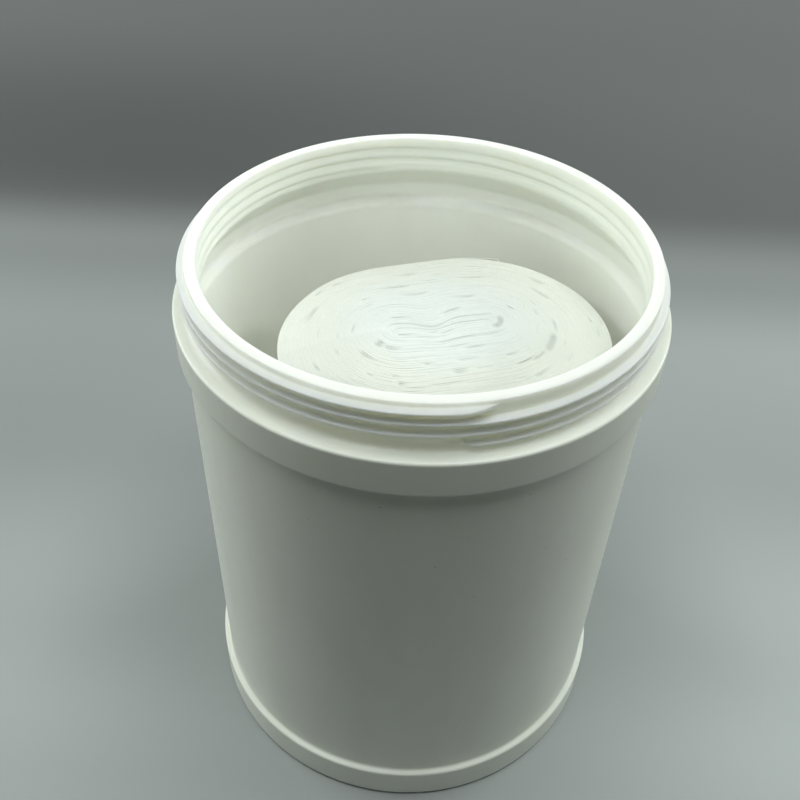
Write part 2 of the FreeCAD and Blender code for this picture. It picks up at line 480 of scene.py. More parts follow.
@dataclass
class Canister:
    """Blow-moulded canister with its neck thread and the groove that the thread leaves inside."""

    overall_height: float = 193.0
    panel_radius: float = 72.9
    bead_radius: float = 75.1
    neck_radius: float = 70.0
    shoulder_z: float = 177.1
    bead_low_z: float = 165.4
    base_ledge_z: float = 14.9
    ledge_fall: float = 0.5
    panel_step: float = 1.0
    wall: float = 2.2
    mouth_radius: float = 66.7
    throat_depth: float = 12.6
    hollow_top_z: float = 172.4
    push_up: float = 2.0
    push_up_radius: float = 56.0
    foot_radius: float = 61.0
    floor_thickness: float = 2.2
    floor_rings: Pair = (9.0, 34.0)
    panel_rings: Pair = (60.0, 115.0)
    inner_ring: float = 90.0
    foot_round: float = 1.5
    heel_round: float = 4.0
    base_round: float = 2.0
    bead_round: float = 0.8
    panel_round: float = 0.9
    rim_round: float = 0.3
    rim_reach: float = 2.0
    neck_fillet: float = 3.0
    bulge_round: float = 3.2
    first_columns_end: float = 12.0
    last_columns_start: float = 357.0
    column_steps: Triple = (0.25, 1.5, 0.5)
    rows_below_rim: float = 0.5
    rows_above_shoulder: float = 0.3
    rows_below_throat: float = 1.5
    row_gap: float = 0.12
    thread_pitch: float = 3.65
    thread_turns: float = 3.0200
    thread_depth: float = 2.2
    thread_crest: float = 0.7
    first_drop: float = 2.2
    start_angle: float = -73.2
    runout: float = 9.6
    nose: float = 4.4
    dimple_depth: float = 0.9
    dimple_past: float = 1.3
    dimple_rise: float = 0.9
    dimple_size: Pair = (1.7, 0.5)
    ridge: tuple[Pair, ...] = (
        (-1.2, 0.0), (-0.95, 0.02), (-0.78, 0.10), (-0.45, 0.44), (-0.24, 0.70), (-0.08, 0.87), (0.08, 0.96),
        (0.24, 0.995), (0.38, 1.0), (0.52, 0.975), (0.64, 0.90), (0.73, 0.79), (0.84, 0.52), (0.95, 0.22),
        (1.03, 0.07), (1.2, 0.0))
    groove_turns: float = 2.514
    groove_depth: float = 0.5
    groove_runouts: Pair = (12.0, 5.0)
    groove: tuple[Pair, ...] = (
        (-2.3, 0.0), (-1.9, 0.07), (-1.4, 0.26), (-0.9, 0.55), (-0.5, 0.82), (-0.2, 0.97), (0.0, 1.0),
        (0.14, 0.88), (0.28, 0.52), (0.42, 0.14), (0.55, 0.0))
    groove_drop: float = 0.25
    free_rows: Pair = (0.01, 0.03)
    support: float = 0.3
    land_depth: float = 1.6
    facing_share: float = 0.05
    finish: Finish = field(default_factory=SatinPolyethylene)
    inner_finish: Finish = field(default_factory=lambda: SatinPolyethylene(
        name="satin_polyethylene_inside", through=0.7, through_length=8.0 * MM))
    # The neck's copy of the plastic is a touch lighter and warmer: painted light in the gaps between the thread's
    # ridges.
    lightened_neck_finish: Finish = field(default_factory=lambda: SatinPolyethylene(
        name="satin_polyethylene_neck_lightened", white=(0.827, 0.846, 0.775), tired_white=(0.805, 0.822, 0.745), through=0.9,
        through_length=6.0 * MM))

    def build(self) -> bpy.types.Object:
        """Build the canister's mesh and dress it.

        Returns:
            The finished piece.
        """
        turns = self.columns()
        mesh = self.skin(turns, [self.loop_at(turn) for turn in turns])
        piece = new_object("canister_shell", mesh)
        for finish in (self.finish, self.inner_finish, self.lightened_neck_finish):
            mesh.materials.append(finish.material())
        mesh.polygons.foreach_set("material_index", [self.side_of(face) for face in mesh.polygons])
        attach(piece, Body.CANISTER.value)
        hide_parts("canister")
        return piece

    def side_of(self, face: bpy.types.MeshPolygon) -> int:
        """Which side of the shell a face lies on, because light comes through the thin wall to its inner side.

        Args:
            face: A face of the finished mesh.

        Returns:
            Material number: 0 for the outside, 1 for the inner wall and floor, 2 for the neck, whose copy of the
                plastic is painted a touch lighter as painted light in the thread's gaps.
        """
        place, facing = face.center / MM, face.normal
        radius = math.hypot(place.x, place.y)
        floor = self.floor_z - self.floor_thickness / 2 < place.z < self.base_ledge_z and radius < self.foot_radius
        towards_axis = place.x * facing.x + place.y * facing.y < -self.facing_share * radius
        if floor or (towards_axis and self.floor_thickness < place.z < self.overall_height - self.land_depth):
            return 1
        return 2 if place.z > self.shoulder_z + self.ledge_fall else 0

    def columns(self) -> np.ndarray:
        """Turns down the thread at which the outline is placed: closer together at the thread's ends."""
        ends = (0, self.first_columns_end, self.last_columns_start, 360)
        return np.concatenate([np.arange(*span) for span in zip(ends, ends[1:], self.column_steps)]) / 360

    def rounded(self, corners: Sequence[Corner], steps: int = 5) -> np.ndarray:
        """Points of an outline with an arc at each rounded corner and support points beside it.

        Args:
            corners: The outline's corners in order; the first and last stay sharp.
            steps: Number of arc pieces at a corner.

        Returns:
            Rows of radius and height.
        """
        rows = []
        for index, corner in enumerate(corners):
            here = np.array([corner.radius, corner.height])
            if corner.rounding == 0:
                rows.append(here)
                continue
            before = np.array([corners[index - 1].radius, corners[index - 1].height]) - here
            after = np.array([corners[index + 1].radius, corners[index + 1].height]) - here
            before /= np.linalg.norm(before)
            after /= np.linalg.norm(after)
            half = math.acos(float(np.clip(before @ after, -1, 1))) / 2
            reach = corner.rounding / math.tan(half)
            middle = (before + after) / np.linalg.norm(before + after)
            centre = here + middle * corner.rounding / math.sin(half)
            start, end = here + before * reach - centre, here + after * reach - centre
            rows.append(centre + start + before * self.support)
            for share in np.linspace(0, 1, steps + 1):
                blend = (math.sin((1 - share) * (math.pi - 2 * half)) * start
                         + math.sin(share * (math.pi - 2 * half)) * end) / math.sin(math.pi - 2 * half)
                rows.append(centre + blend)
            rows.append(centre + end + after * self.support)
        return np.array(rows)

    def loop_at(self, turn: float) -> tuple[np.ndarray, slice, slice]:
        """The whole outline, from the pole under the base to the pole on the floor.

        Args:
            turn: Turns down the thread, from 0 to 1.

        Returns:
            Rows of radius and height, and the rows of the neck's outside and inside.
        """
        below = self.rounded(self.outside_corners())
        below = below[: self.cut_row(below)]
        over = self.rounded([
            Corner(self.neck_radius, self.overall_height - self.rim_reach),
            Corner(self.neck_radius, self.overall_height, self.rim_round),
            Corner(self.mouth_radius, self.overall_height, self.rim_round),
            Corner(self.mouth_radius, self.overall_height - self.rim_reach),
        ], 4)[2:-2]
        neck = self.neck_rows(turn)
        throat = self.throat_rows(turn)
        inside = self.rounded(self.inside_corners())
        inside = inside[self.inside_row(inside):]
        first = len(below)
        second = first + len(neck) + len(over)
        rows = np.concatenate([below, neck, over, throat, inside])
        return rows, slice(first, first + len(neck)), slice(second, second + len(throat))

    def outside_corners(self) -> list[Corner]:
        """Corners from under the base up to the neck.

        Returns:
            The corners in order.
        """
        return [
            *(Corner(radius, self.push_up) for radius in self.floor_rings),
            Corner(self.push_up_radius, self.push_up, self.foot_round),
            Corner(self.foot_radius, 0.0, self.foot_round),
            Corner(self.bead_radius, 0.0, self.base_round),
            Corner(self.bead_radius, self.base_ledge_z, self.bead_round),
            Corner(self.panel_radius, self.base_ledge_z + self.ledge_fall, self.panel_round),
            *(Corner(self.panel_radius, height) for height in self.panel_rings),
            Corner(self.panel_radius, self.bead_low_z - self.panel_step, self.panel_round),
            Corner(self.bead_radius, self.bead_low_z, self.bead_round),
            Corner(self.bead_radius, self.shoulder_z, self.bead_round),
            Corner(self.neck_radius, self.shoulder_z + self.ledge_fall, self.neck_fillet),
            Corner(self.neck_radius, self.overall_height),
        ]

    def inside_corners(self) -> list[Corner]:
        """Corners from the throat down to the floor.

        Returns:
            The corners in order.
        """
        inner = self.bead_radius - self.wall
        panel = self.panel_radius - self.wall
        return [
            Corner(self.mouth_radius, self.overall_height),
            Corner(self.mouth_radius, self.throat_corner_z, self.bulge_round),
            Corner(inner, self.hollow_top_z, self.bulge_round),
            Corner(inner, self.bead_low_z + self.wall, self.bulge_round),
            Corner(panel, self.bead_low_z - self.panel_step, self.bulge_round),
            Corner(panel, self.inner_ring),
            Corner(panel, self.base_ledge_z + self.ledge_fall, self.bulge_round),
            Corner(inner, self.base_ledge_z - self.wall, self.bulge_round),
            Corner(inner, self.floor_thickness, self.heel_round),
            Corner(self.foot_radius, self.floor_thickness, self.foot_round),
            Corner(self.push_up_radius, self.floor_z, self.foot_round),
            *(Corner(radius, self.floor_z) for radius in reversed(self.floor_rings)),
        ]

    @property
    def floor_z(self) -> float:
        """Height of the floor inside."""
        return self.push_up + self.floor_thickness

    @property
    def throat_corner_z(self) -> float:
        """Height at which the throat ends and the hollow behind the bead begins."""
        return self.overall_height - self.throat_depth

    @property
    def thread_z(self) -> float:
        """Height of the thread's middle at its upper end."""
        return self.overall_height - self.first_drop

    @property
    def neck_low_z(self) -> float:
        """Height on the neck's fillet where the helical rows begin."""
        return self.shoulder_z + self.ledge_fall + self.rows_above_shoulder

    @property
    def throat_low_z(self) -> float:
        """Height on the throat's curve where the helical rows end."""
        return self.throat_corner_z - self.rows_below_throat

    def cut_row(self, rows: np.ndarray) -> int:
        """Number of outside rows that lie below the helical rows."""
        outer = rows[:, 0] > self.neck_radius
        return int(np.argmax(outer & (rows[:, 1] > self.neck_low_z - self.row_gap)))

    def inside_row(self, rows: np.ndarray) -> int:
        """First inside row below the helical rows."""
        return int(np.argmax(rows[:, 1] < self.throat_low_z - self.row_gap))

    def neck_wall(self, height: np.ndarray) -> np.ndarray:
        """Radius of the bare neck wall with its fillet to the shoulder.

        Args:
            height: Heights of the rows.

        Returns:
            The wall's radius at each height.
        """
        lean = math.atan2(self.ledge_fall, self.bead_radius - self.neck_radius)
        top = self.shoulder_z + self.ledge_fall + self.neck_fillet / math.tan(math.pi / 4 + lean / 2)
        drop = np.clip(top - height, 0, self.neck_fillet)
        return self.neck_radius + self.neck_fillet - np.sqrt(self.neck_fillet**2 - drop**2)

    def throat_wall(self, height: np.ndarray) -> np.ndarray:
        """Radius of the throat with the start of its bulge.

        Args:
            height: Heights of the rows.

        Returns:
            The wall's radius at each height.
        """
        slope = math.atan2(self.throat_corner_z - self.hollow_top_z, self.bead_radius - self.wall - self.mouth_radius)
        start = self.throat_corner_z + self.bulge_round / math.tan((math.pi / 2 + slope) / 2)
        drop = np.maximum(start - height, 0)
        bent = np.minimum(drop, self.bulge_round * math.cos(slope))
        arc = self.bulge_round - np.sqrt(self.bulge_round**2 - bent**2)
        return self.mouth_radius + arc + (drop - bent) / math.tan(slope)

    def thread_fade(self, turns: float) -> float:
        """Share of its depth that the thread has at some turns from its upper end.

        Args:
            turns: Turns from the upper end.

        Returns:
            0 at both ends and 1 between the runouts.
        """
        girth = 2 * math.pi * self.neck_radius
        begun = np.clip(turns * girth / self.runout, 0, 1)
        left = np.clip((self.thread_turns - turns) * girth / self.nose, 0, 1)
        return float(math.sin(begun * math.pi / 2) * math.sqrt(1 - (1 - left) ** 2))

    def groove_fade(self, turns: float) -> float:
        """Share of its depth that the inner groove has at some turns from its upper end.

        Args:
            turns: Turns from the upper end.

        Returns:
            0 at both ends and 1 between the runouts.
        """
        girth = 2 * math.pi * self.mouth_radius
        begun, left = np.array([turns, self.groove_turns - turns]) * girth / np.array(self.groove_runouts)
        return float(eased(begun) * eased(left))

    def helical_rows(
        self, turn: float, centre: float, offsets: np.ndarray, turns: float, low: float
    ) -> tuple[np.ndarray, np.ndarray]:
        """Heights of the rows that follow a helical band, from its low edge to just under the rim.

        Args:
            turn: Turns down the thread, from 0 to 1.
            centre: Height of the band's middle at its upper end.
            offsets: Heights across one band, from its lower side up.
            turns: Turns that the whole band makes.
            low: Height of the lowest row.

        Returns:
            Heights of the rows, and the turns down the band at each place where the outline crosses it.
        """
        down = turn + np.arange(math.floor(turns), -1, -1)
        bands = (centre - self.thread_pitch * down)[:, None] + offsets[None, :]
        lowest = np.concatenate([np.linspace(low, bands[0, 0], EDGE_ROWS + 1)[:-1], bands[0]])
        free = np.linspace(low, bands[1, 0], len(lowest) + 1)[:-1]
        past, ease = self.free_rows
        share = float(eased(np.array((turn - turns % 1 - past) / ease)))
        lowest = lowest * (1 - share) + free * share
        top = np.linspace(bands[-1, -1], self.overall_height - self.rows_below_rim, EDGE_ROWS + 1)[1:]
        return np.concatenate([lowest, bands[1:].ravel(), top]), down

    def neck_rows(self, turn: float) -> np.ndarray:
        """Outside of the neck with the thread's ridges.

        Args:
            turn: Turns down the thread, from 0 to 1.

        Returns:
            Rows of radius and height, upwards.
        """
        offsets, shares = np.array(self.ridge).T
        heights, down = self.helical_rows(turn, self.thread_z, offsets, self.thread_turns, self.neck_low_z)
        bands = [np.minimum(shares, self.thread_fade(float(turns))) for turns in down]
        depth = np.pad(np.concatenate(bands), EDGE_ROWS)
        wall = self.neck_wall(heights)
        crest_radius = self.neck_radius + self.thread_depth
        radii = wall + depth * np.maximum(crest_radius - wall, 0.0)
        return np.column_stack([radii - self.dimple(turn, heights), heights])

    def dimple(self, turn: float, heights: np.ndarray) -> np.ndarray:
        """Shallow dent in the neck wall just past the thread's lower end.

        Args:
            turn: Turns down the thread, from 0 to 1.
            heights: Heights of the rows.

        Returns:
            Depth of the dent at each row.
        """
        along = (turn - self.thread_turns % 1) * 2 * math.pi * self.neck_radius - self.dimple_past
        drop = heights - (self.thread_z - self.thread_pitch * self.thread_turns + self.dimple_rise)
        long, high = self.dimple_size
        return self.dimple_depth * np.exp(-((along / long) ** 2) - (drop / high) ** 2)

    def throat_rows(self, turn: float) -> np.ndarray:
        """Inside of the neck with the groove that the thread leaves.

        Args:
            turn: Turns down the thread, from 0 to 1.

        Returns:
            Rows of radius and height, downwards.
        """
        offsets, shape = np.array(self.groove).T
        centre = self.thread_z + self.thread_crest / 2 - self.groove_drop
        heights, down = self.helical_rows(turn, centre, offsets, self.groove_turns, self.throat_low_z)
        depth = np.pad(np.concatenate([shape * self.groove_fade(turns) for turns in down]), EDGE_ROWS)
        radii = self.throat_wall(heights) + depth * self.groove_depth
        return np.column_stack([radii, heights])[::-1]

    def skin(self, turns: np.ndarray, loops: list[tuple[np.ndarray, slice, slice]]) -> bpy.types.Mesh:
        """Join the outlines into one closed mesh.

        Args:
            turns: Turns down the thread of each outline.
            loops: The outlines and their helical rows.

        Returns:
            The mesh, in metres, with its faces outwards.
        """
        outlines = np.array([rows for rows, _, _ in loops])
        count, rows_each = outlines.shape[:2]
        angles = np.radians(self.start_angle - 360 * turns)[:, None]
        points = np.stack([
            outlines[:, :, 0] * np.cos(angles),
            outlines[:, :, 0] * np.sin(angles),
            outlines[:, :, 1],
        ], axis=-1).reshape(-1, 3)
        points = np.concatenate([points, [[0, 0, self.push_up], [0, 0, self.floor_z]]]) * MM
        low_pole, high_pole = len(points) - 2, len(points) - 1
        at = np.arange(count * rows_each).reshape(count, rows_each)
        faces = []
        for left, right in zip(at, at[1:]):
            faces += strip(left, right, 0, rows_each - 1)
        faces += self.seam(at, outlines, loops[0][1], loops[0][2])
        for column in range(count):
            after = (column + 1) % count
            faces.append((low_pole, at[column, 0], at[after, 0]))
            faces.append((high_pole, at[after, -1], at[column, -1]))
        mesh = bpy.data.meshes.new("canister_shell")
        mesh.from_pydata(points.tolist(), [], [tuple(int(i) for i in face) for face in faces])
        mesh.polygons.foreach_set("use_smooth", np.ones(len(mesh.polygons), bool))
        self.face_outwards(mesh)
        return mesh

    def seam(self, at: np.ndarray, outlines: np.ndarray, neck: slice, throat: slice) -> list[tuple[int, ...]]:
        """Faces between the last column and the first, where each helical band is one turn lower.

        Args:
            at: Vertex numbers by column and row.
            outlines: Radius and height by column and row.
            neck: Rows of the neck's outside.
            throat: Rows of the throat.

        Returns:
            The faces.
        """
        left, right = at[-1], at[0]
        faces = []
        start = 0
        for band in (neck, throat):
            faces += strip(left, right, start, band.start - 1)
            span = slice(band.start - 1, band.stop + 1)
            faces += zipped(left[span], right[span], outlines[-1, span, 1], outlines[0, span, 1])
            start = band.stop
        return faces + strip(left, right, start, at.shape[1] - 1)

    @staticmethod
    def face_outwards(mesh: bpy.types.Mesh) -> None:
        """Turn every face of a closed mesh outwards.

        Args:
            mesh: The mesh to set right.
        """
        work = bmesh.new()
        work.from_mesh(mesh)
        bmesh.ops.recalc_face_normals(work, faces=work.faces)
        work.to_mesh(mesh)
        work.free()


def strip(left: np.ndarray, right: np.ndarray, first: int, last: int) -> list[tuple[int, ...]]:
    """Quads between two columns of points, from one row to another."""
    return [(left[row], left[row + 1], right[row + 1], right[row]) for row in range(first, last)]


def zipped(
    left: Sequence[int], right: Sequence[int], left_heights: np.ndarray, right_heights: np.ndarray
) -> list[tuple[int, int, int]]:
    """Triangles between two lines of points that share their ends but not their spacing.

    Args:
        left: Point numbers on the left line.
        right: Point numbers on the right line.
        left_heights: Heights of the left points, all rising or all falling.
        right_heights: Heights of the right points, in the same direction.

    Returns:
        The triangles.
    """
    way = 1 if left_heights[-1] > left_heights[0] else -1
    faces = []
    i = j = 0
    while i < len(left) - 1 or j < len(right) - 1:
        take_left = j == len(right) - 1 or (
            i < len(left) - 1 and way * left_heights[i + 1] <= way * right_heights[j + 1])
        if take_left:
            faces.append((left[i], left[i + 1], right[j]))
            i += 1
        else:
            faces.append((left[i], right[j + 1], right[j]))
            j += 1
    return faces


@dataclass(frozen=True)
class Hollow:
    """A lens-shaped gap between two layers of the roll, in degrees round it and millimetres."""

    bearing: float
    depth: float
    length: float
    width: float
    blunt: float = 0.0


class Stretch(Enum):
    """The three lengths of the web, with the CAD node and body that each stands for."""

    TAIL = ("tail_wipe", Body.ROLL)
    ROLL = ("wipes_roll", Body.ROLL)
    LEAD = ("lead_wipe", Body.LEAD)


@dataclass
class WindingTree:
    """Geometry Nodes tree that sweeps the web's cut section along a winding."""

    web_width: float = 152.0 * MM
    edge_round: float = 0.06 * MM
    edge_wander: float = 0.35 * MM
    swell: float = 0.9 * MM
    wander_per_metre: float = 26.0
    swell_per_metre: float = 42.0
    seed_steps: Pair = (7.3, 1.7)
    headroom: float = 0.3
    foot_z: float = 4.5 * MM
    sides: int = 6
    crisp_from: Pair = (0.8, 0.4)
    seed: int = 11
    identifiers: dict[str, str] = field(default_factory=dict)

    def build(self) -> bpy.types.NodeTree:
        """Build the tree.

        Returns:
            A tree that turns a line of points into a closed web.
        """
        tree = bpy.data.node_groups.new("wound_web", "GeometryNodeTree")
        tree.interface.new_socket("Geometry", in_out="OUTPUT", socket_type="NodeSocketGeometry")
        sockets = {"Geometry": "Geometry", "Web width": "Float", "Edge round": "Float", "Edge wander": "Float",
                   "Swell": "Float", "Foot height": "Float", "Seed": "Int", "Material": "Material"}
        for name, kind in sockets.items():
            made = tree.interface.new_socket(name, in_out="INPUT", socket_type="NodeSocket" + kind)
            self.identifiers[name] = made.identifier
        bench = NodeBench(tree)
        given = tree.nodes.new("NodeGroupInput")
        inputs = {name: Wire(bench, given.outputs[name]) for name in sockets}
        result = self.sweep(bench, inputs)
        bench.add("NodeGroupOutput", {}, {0: result})
        return tree

    def sweep(self, bench: NodeBench, given: Mapping[str, Wire]) -> Wire:
        """Sweep the section and set its corners in place.

        Args:
            bench: Adds the nodes.
            given: The tree's inputs.

        Returns:
            The finished geometry.
        """
        position = bench.add("GeometryNodeInputPosition")
        line = bench.add("GeometryNodeMeshToCurve", {}, {"Mesh": given["Geometry"]})
        line = self.store(bench, line, "spine", "FLOAT_VECTOR", position)
        section = bench.add("GeometryNodeCurvePrimitiveCircle", {}, {"Resolution": self.sides, "Radius": 1.0})
        turned = {"Geometry": section, "Rotation": (0, 0, math.pi / self.sides)}
        section = bench.add("GeometryNodeTransform", {}, turned)
        section = self.store(bench, section, "section", "FLOAT_VECTOR", position)
        tube = bench.add("GeometryNodeCurveToMesh", {}, {"Curve": line, "Profile Curve": section, "Fill Caps": True})
        tube = bench.add("GeometryNodeSetPosition", {}, {"Geometry": tube, "Position": self.corner_place(bench, given)})
        tube = self.creased(bench, tube)
        tube = bench.add("GeometryNodeRealizeInstances", {}, {"Geometry": tube})
        return bench.add("GeometryNodeSetMaterial", {}, {"Geometry": tube, "Material": given["Material"]})

    @staticmethod
    def store(bench: NodeBench, geometry: Wire, name: str, kind: str, value: Wire) -> Wire:
        """Store a named attribute on points."""
        inputs = {"Geometry": geometry, "Name": name, "Value": value}
        return bench.add("GeometryNodeStoreNamedAttribute", {"data_type": kind, "domain": "POINT"}, inputs)

    @staticmethod
    def read(bench: NodeBench, name: str, kind: str) -> Wire:
        """Read a named attribute."""
        return bench.add("GeometryNodeInputNamedAttribute", {"data_type": kind}, {"Name": name})

    def corner_place(self, bench: NodeBench, given: Mapping[str, Wire]) -> Wire:
        """Where each corner of the section goes: a flat foot, upright faces and a rounded, wandering top edge.

        Args:
            bench: Adds the nodes.
            given: The tree's inputs.

        Returns:
            The corner's position.
        """
        corner = self.read(bench, "section", "FLOAT_VECTOR")
        spine = self.read(bench, "spine", "FLOAT_VECTOR")
        outward = self.read(bench, "outward", "FLOAT_VECTOR")
        half = self.read(bench, "half_width", "FLOAT")
        run = self.read(bench, "run", "FLOAT")
        across = bench.part(corner, "X") / math.cos(math.pi / self.sides)
        upper = bench.part(corner, "Y") > 0.0
        first, second = (given["Seed"] * step for step in self.seed_steps)
        slow = bench.add("ShaderNodeTexNoise", {"noise_dimensions": "1D"}, {
            "W": run + first, "Scale": self.wander_per_metre, "Detail": 3.0, "Roughness": 0.55})
        broad = bench.add("ShaderNodeTexNoise", {"noise_dimensions": "4D"}, {
            "Vector": spine, "W": second, "Scale": self.swell_per_metre, "Detail": 1.0})
        wander = (slow - 0.5) * given["Edge wander"] + (broad - 0.5) * given["Swell"]
        dip = self.read(bench, "dip", "FLOAT")
        top = given["Web width"] - given["Edge round"] * (across * across) - self.margin(given) + wander - dip
        height = given["Foot height"] + upper * top
        side = bench.add("ShaderNodeVectorMath", {"operation": "SCALE"}, {0: outward, "Scale": across * half})
        rise = bench.add("ShaderNodeCombineXYZ", {}, {"Z": height})
        return bench.vectors("ADD", bench.vectors("ADD", spine, side), rise)

    def margin(self, given: Mapping[str, Wire]) -> Wire:
        """Room that keeps the wandering edge under the web's full width."""
        return (given["Edge wander"] + given["Swell"]) * self.headroom

    def creased(self, bench: NodeBench, tube: Wire) -> Wire:
        """Shade smooth along the web but keep its cut corners crisp.

        Args:
            bench: Adds the nodes.
            tube: The swept web.

        Returns:
            The web with its shading set.
        """
        corner = self.read(bench, "section", "FLOAT_VECTOR")
        aside, up = self.crisp_from
        crisp = (abs(bench.part(corner, "X")) > aside) * (abs(bench.part(corner, "Y")) > up)
        smooth = bench.add("FunctionNodeBooleanMath", {"operation": "NOT"}, {0: crisp})
        faces = bench.add("GeometryNodeSetShadeSmooth", {"domain": "FACE"}, {"Geometry": tube, "Shade Smooth": True})
        return bench.add("GeometryNodeSetShadeSmooth", {"domain": "EDGE"}, {"Geometry": faces, "Shade Smooth": smooth})

    def apply_to(self, piece: bpy.types.Object, tree: bpy.types.NodeTree, material: bpy.types.Material) -> None:
        """Run the tree on a piece and keep the plain mesh.

        Args:
            piece: Object whose mesh is a line of points.
            tree: The built tree.
            material: Finish of the web.
        """
        modifier = piece.modifiers.new("wound_web", "NODES")
        modifier.node_group = tree
        values = {"Web width": self.web_width, "Edge round": self.edge_round, "Edge wander": self.edge_wander,
                  "Swell": self.swell, "Foot height": self.foot_z, "Seed": self.seed, "Material": material}
        for name, value in values.items():
            modifier[self.identifiers[name]] = value
        bpy.context.view_layer.update()
        evaluated = piece.evaluated_get(bpy.context.evaluated_depsgraph_get())
        mesh = bpy.data.meshes.new_from_object(evaluated)
        piece.modifiers.remove(modifier)
        line = piece.data
        piece.data = mesh
        bpy.data.meshes.remove(line)
        mesh.name = piece.name


@dataclass
class WipesRoll:
    """Coreless roll of wipes: one web wound round a flattened core and pressed to an oval."""

    turns: int = 92
    outer_radius: float = 43.4
    outer_half: float = 11.0
    outer_centre: Pair = (8.6, 2.0)
    outer_tilt: float = 17.5
    core_half: float = 15.9
    core_centre: Pair = (7.55, 10.1)
    core_tilt: float = 14.6
    side_ease: float = 0.12
    dent: float = 5.0
    dent_core: float = 2.6
    dent_place: float = -3.5
    dent_width: float = 6.0
    dent_radius: float = 9.0
    dent_fade: float = 16.0
    tail_bearing: float = 62.0
    tail_lift: float = 1.0
    lifted_turns: float = 0.05
    back_swell: float = 1.1
    back_bearing: float = 84.0
    back_width: float = 34.0
    slack: float = 0.014
    thinnest: float = 0.08
    sheet_length: float = 230.0
    tear_gap: float = 0.3
    longest_step: float = 1.45
    shortest_step: float = 0.16
    flatness: float = 0.006
    steps_each_turn: int = 720
    hollow_decay: float = 3.2
    hollow_opening: float = 0.04
    widest_opening: float = 0.035
    hollow_dip: float = 0.5
    hollow_lean: float = 0.8
    dip_reach: Pair = (0.62, 0.2)
    small_hollows: int = 110
    small_depths: Pair = (0.01, 0.97)
    small_lengths: Pair = (2.0, 8.0)
    small_widths: Pair = (0.12, 0.42)
    end_gap: float = 0.05
    seed: int = 5
    finish: Finish = field(default_factory=Nonwoven)
    hollows: Sequence[Hollow] = tuple(Hollow(*row) for row in (
        (92, 35.8, 8.0, 1.3, -1), (96, 28.3, 10.0, 1.1, -1), (93, 22.8, 12.9, 1.1, -1), (116, 40.2, 4.5, 0.9),
        (127, 40.5, 4.0, 0.9), (147, 35.3, 12.2, 1.7, -1), (165, 29.3, 5.8, 0.9, -1), (161, 16.5, 4.8, 0.9),
        (170, 21.4, 3.1, 0.6), (113, 24.2, 2.2, 0.6), (213, 9.1, 3.7, 2.4, -1), (241, 9.1, 7.0, 1.4, -1),
        (214, 16.2, 7.9, 1.3, -1), (189, 23.4, 2.5, 0.6), (265, 16.4, 3.2, 1.1, -1), (248, 20.7, 2.9, 0.8, -1),
        (252, 23.5, 2.8, 1.6, -1), (260, 25.1, 10.0, 0.7, -1), (227, 22.5, 3.6, 0.6), (193, 32.5, 4.9, 0.8),
        (78, 29.4, 9.8, 0.9, -1), (84, 16.1, 10.1, 1.1, -1), (88, 9.1, 7.8, 0.9), (41, 36.5, 8.0, 1.3, -1),
        (33, 29.7, 10.9, 1.4, -1), (34, 12.1, 3.6, 0.8), (11, 19.1, 3.5, 0.6), (272, 6.7, 17.7, 0.8),
        (294, 7.0, 8.1, 1.0, -1), (274, 11.3, 7.7, 1.1, -1), (272, 16.1, 9.0, 1.0, -1), (270, 20.6, 5.8, 1.8, -1),
        (274, 20.6, 7.6, 0.7, -1), (288, 17.3, 5.1, 0.9, -1), (293, 21.2, 7.6, 0.9), (351, 23.5, 8.1, 0.9),
        (328, 22.7, 10.1, 2.0), (306, 22.2, 7.6, 1.0), (320, 30.1, 6.3, 0.9, -1), (330, 26.8, 4.9, 0.6),
        (297, 28.0, 8.0, 1.1, -1), (358, 38.0, 3.3, 0.8), (347, 38.6, 5.3, 0.6), (356, 41.5, 2.2, 0.6),
        (337, 3.8, 6.7, 1.8), (131, 3.4, 10.6, 0.8, -1), (102, 7.7, 5.0, 0.6), (256, 3.0, 4.6, 0.6),
        (268, 1.5, 2.7, 0.5), (270, 2.4, 5.2, 0.5), (267, 24.8, 12.3, 0.5), (271, 10.3, 8.3, 0.5),
        (262, 4.2, 13.4, 0.5),
    ))

    def level(self, share: np.ndarray, bearing: np.ndarray) -> np.ndarray:
        """Points of the ovals that lead from the flattened core to the roll's outline.

        Args:
            share: 0 at the core and 1 at the outline.
            bearing: Direction of the outward normal from the roll's long axis, in radians.

        Returns:
            Places seen from above, in millimetres.
        """
        inner, outer = np.array(self.core_centre), np.array(self.outer_centre)
        centre = inner + (outer - inner) * share[:, None]
        half = self.core_half + (self.outer_half - self.core_half) * share
        tilt = self.tilt(share)
        cosine, sine = np.cos(bearing), np.sin(bearing)
        ease = cosine / np.sqrt(cosine**2 + self.side_ease**2) * math.sqrt(1 + self.side_ease**2)
        swell = np.exp(-((np.degrees(bearing) % 360 - self.back_bearing) / self.back_width) ** 2)
        radius = self.outer_radius * share + self.back_swell * share**3 * swell
        along = half * ease + radius * cosine
        across = radius * sine - self.dent_depth(along, radius, sine > 0)
        turned = np.column_stack([
            along * np.cos(tilt) - across * np.sin(tilt),
            along * np.sin(tilt) + across * np.cos(tilt),
        ])
        return centre + turned

    def tilt(self, share: np.ndarray) -> np.ndarray:
        """Turn of the oval's long axis, in radians."""
        return np.radians(self.core_tilt + (self.outer_tilt - self.core_tilt) * share)

    def dent_depth(self, along: np.ndarray, radius: np.ndarray, behind: np.ndarray) -> np.ndarray:
        """How far the layers between the core's two swirls are pushed to the front.

        Args:
            along: Place along the roll's long axis.
            radius: Layer's distance from the core.
            behind: True where the layer lies behind the core.

        Returns:
            The push, in millimetres.
        """
        near = np.exp(-(((along - self.dent_place) / self.dent_width) ** 2))
        out = radius / self.dent_radius
        core = np.exp(-(out**2))
        swell = (self.dent - self.dent_core) * out**2 * np.exp(2.0 * (1.0 - out))
        fade = self.dent_core * (1 - core) * np.exp(-((radius / self.dent_fade) ** 2))
        return near * (self.dent_core * core + np.where(behind, swell + fade, 0.0))

